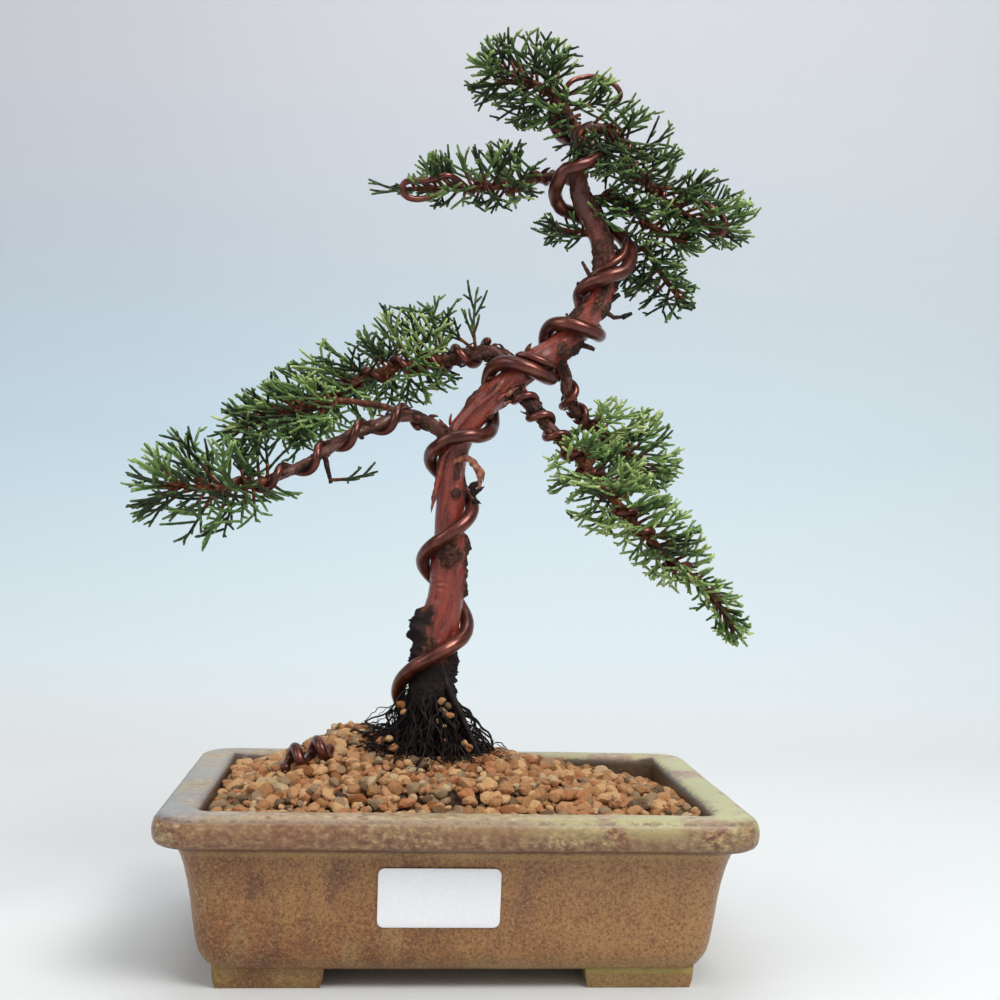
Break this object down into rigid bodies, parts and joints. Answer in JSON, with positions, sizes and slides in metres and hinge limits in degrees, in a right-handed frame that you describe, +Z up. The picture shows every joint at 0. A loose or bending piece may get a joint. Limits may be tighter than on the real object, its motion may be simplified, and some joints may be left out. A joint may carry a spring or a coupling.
{
  "type": "potted juniper bonsai tree",
  "caption": "Informal upright juniper bonsai with a leaning red-barked trunk, surface roots, wired boughs and layered foliage pads in a shallow glazed rectangular pot with corner feet.",
  "frame": {"origin": "on the table, under the middle of the pot", "axes": "+Z up, +X to the right seen from the front, the side that the trunk leans to, -Y towards the viewer of the tree's front"},
  "size_m": [0.2277, 0.14, 0.3389],
  "materials": {
    "pot": "satin brown glaze speckled with tan and olive",
    "soil": "loose tan, orange and grey grains",
    "bark": "red-brown fibrous bark, dark at the foot",
    "wire": "brown anodised, glossy",
    "foliage": "living scale-leaf foliage, matt green"
  },
  "bodies": {
    "root": {"bough_left_high": "bark", "bough_left_low": "bark", "bough_right_back": "bark", "bough_right_high": "bark", "bough_right_low": "bark", "bough_right_middle": "bark", "bough_top_left": "bark", "bough_top_right": "bark", "foliage_apex": "foliage", "foliage_left_high": "foliage", "foliage_left_middle": "foliage", "foliage_left_tip": "foliage", "foliage_right_back": "foliage", "foliage_right_high": "foliage", "foliage_right_pad": "foliage", "foliage_right_tail": "foliage", "foliage_top_left": "foliage", "foliage_top_right": "foliage", "foliage_trunk_tuft": "foliage", "pot": "pot", "soil": "soil", "trunk": "bark", "wire_anchor": "wire", "wire_left_high": "wire", "wire_left_low": "wire", "wire_right_high": "wire", "wire_right_low": "wire", "wire_right_middle": "wire", "wire_top_left": "wire", "wire_top_right": "wire", "wire_trunk": "wire", "wire_trunk_thin_high": "wire", "wire_trunk_thin_low": "wire"}
  },
  "joints": []
}
